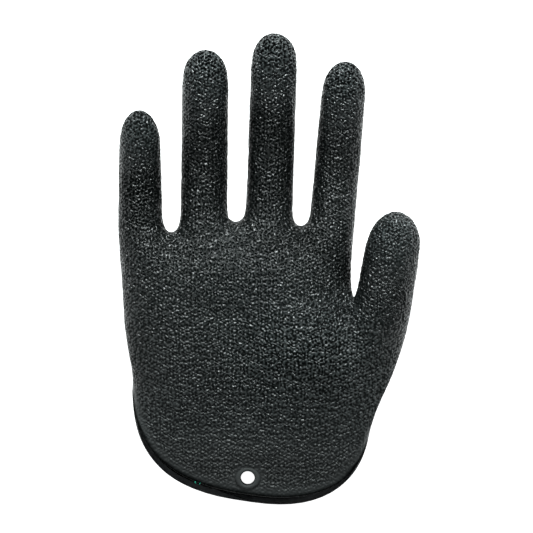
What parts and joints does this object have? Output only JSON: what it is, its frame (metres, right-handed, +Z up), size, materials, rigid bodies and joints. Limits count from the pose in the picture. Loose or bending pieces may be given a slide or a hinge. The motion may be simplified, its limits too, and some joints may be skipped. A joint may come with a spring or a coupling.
{
  "type": "fishing glove",
  "caption": "Seamless latex-coated knit fishing glove for the right hand, lying palm up, with a bound wrist opening and a clip eyelet through each side.",
  "frame": {"origin": "on the surface that the glove lies on, below the middle of its bounding box", "axes": "+Y from the wrist to the fingertips, +X towards the thumb, +Z up out of the palm"},
  "size_m": [0.1508, 0.2352, 0.0283],
  "materials": {
    "latex_coat": "charcoal latex dipped over seamless knit, crinkled all over into fine glossy ridges",
    "binding": "smooth dark tape with a rolled edge, dull",
    "moulded_rubber": "smooth moulded rubber, satin"
  },
  "bodies": {
    "root": {"coated_shell": "latex_coat", "wrist_binding": "binding", "palm_eyelet": "moulded_rubber", "back_eyelet": "moulded_rubber"}
  },
  "joints": []
}
